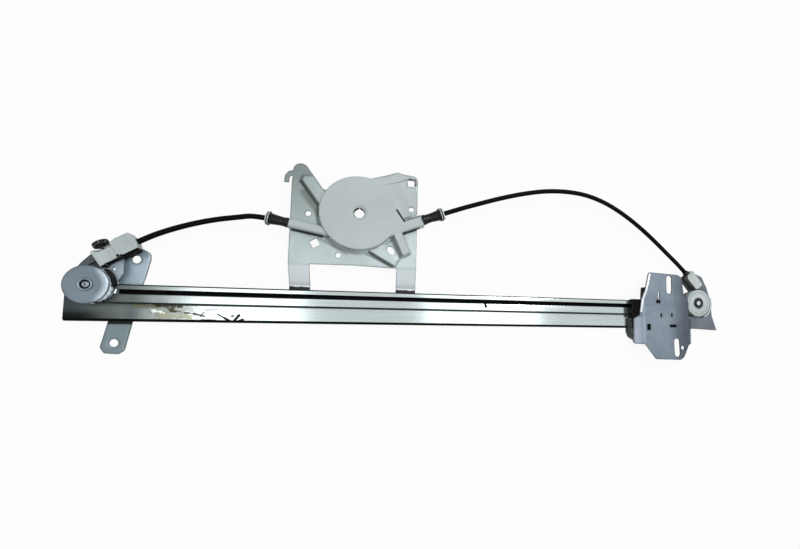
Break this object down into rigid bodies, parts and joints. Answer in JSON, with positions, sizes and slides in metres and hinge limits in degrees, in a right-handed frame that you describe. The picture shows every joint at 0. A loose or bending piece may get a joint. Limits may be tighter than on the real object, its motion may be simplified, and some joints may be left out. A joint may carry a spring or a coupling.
{
  "type": "window regulator",
  "caption": "Cable window regulator without motor: straight guide rail, drive plate with drum housing, sheathed cables over end pulleys, and a sliding glass carrier.",
  "frame": {"origin": "drum axis, on the plane where the motor's face meets the drive plate", "axes": "+X along the rail towards the parked carrier, +Y from the rail towards the drum, +Z towards the window glass; the fixing faces lie 12 mm behind the origin"},
  "size_m": [0.6569, 0.1935, 0.0274],
  "materials": {
    "rail_steel": "rolled, zinc coated",
    "dark_steel": "dull zinc in shade",
    "zinc_steel": "blue zinc plate",
    "pale_sheet": "pale zinc sheet",
    "pale_plastic": "pale grey moulding",
    "black_plastic": "matte black moulding",
    "black_rubber": "matte black rubber",
    "grey_plastic": "grey moulding",
    "cable_steel": "stranded steel"
  },
  "bodies": {
    "frame": {"guide_rail": "rail_steel", "left_mount_strap": "zinc_steel", "left_pulley_bracket": "dark_steel", "left_axle": "zinc_steel", "left_pulley_cover": "zinc_steel", "left_cable_guard": "black_plastic", "left_cable_fitting": "pale_plastic", "left_fitting_button": "black_rubber", "left_conduit": "black_plastic", "right_conduit": "black_plastic", "left_inner_cable": "cable_steel", "right_inner_cable": "cable_steel", "left_cable_boot": "black_rubber", "right_cable_boot": "black_rubber", "left_conduit_ring": "pale_plastic", "right_conduit_ring": "pale_plastic", "drive_plate": "pale_sheet", "drum_housing": "pale_plastic", "left_tension_spring": "cable_steel", "right_tension_spring": "cable_steel", "housing_screws": "zinc_steel", "right_end_bracket": "dark_steel", "rail_rivets": "zinc_steel", "right_axle": "zinc_steel", "right_pulley_guard": "pale_plastic", "right_cable_fitting": "pale_plastic", "right_conduit_sleeve": "black_rubber"},
    "carrier": {"carrier_plate": "zinc_steel", "carrier_slider": "black_plastic", "slider_claw": "grey_plastic", "cable_nipples": "cable_steel"},
    "left_wheel": {"left_pulley": "pale_plastic"},
    "right_wheel": {"right_pulley": "pale_plastic"},
    "drum": {"cable_drum": "black_plastic", "drum_windings": "cable_steel"}
  },
  "joints": [
    {"name": "carrier_slide", "type": "slide", "parent": "frame", "child": "carrier", "axis": [1, 0, 0], "range_m": [-0.47, 0]},
    {"name": "left_pulley_spin", "type": "hinge", "parent": "frame", "child": "left_wheel", "pos_m": [-0.2168, -0.078, 0], "axis": [0, 0, 1], "range_deg": [-1808, 0]},
    {"name": "right_pulley_spin", "type": "hinge", "parent": "frame", "child": "right_wheel", "pos_m": [0.3903, -0.078, 0], "axis": [0, 0, 1], "range_deg": [-1808, 0]},
    {"name": "drum_spin", "type": "hinge", "parent": "frame", "child": "drum", "pos_m": [0, 0, 0.0075], "axis": [0, 0, 1], "range_deg": [0, 1078]}
  ],
  "couplings": [
    {"joint": "left_pulley_spin", "follows": "carrier_slide", "rad_per_m": 67.114},
    {"joint": "right_pulley_spin", "follows": "carrier_slide", "rad_per_m": 67.114},
    {"joint": "drum_spin", "follows": "carrier_slide", "rad_per_m": -40}
  ]
}
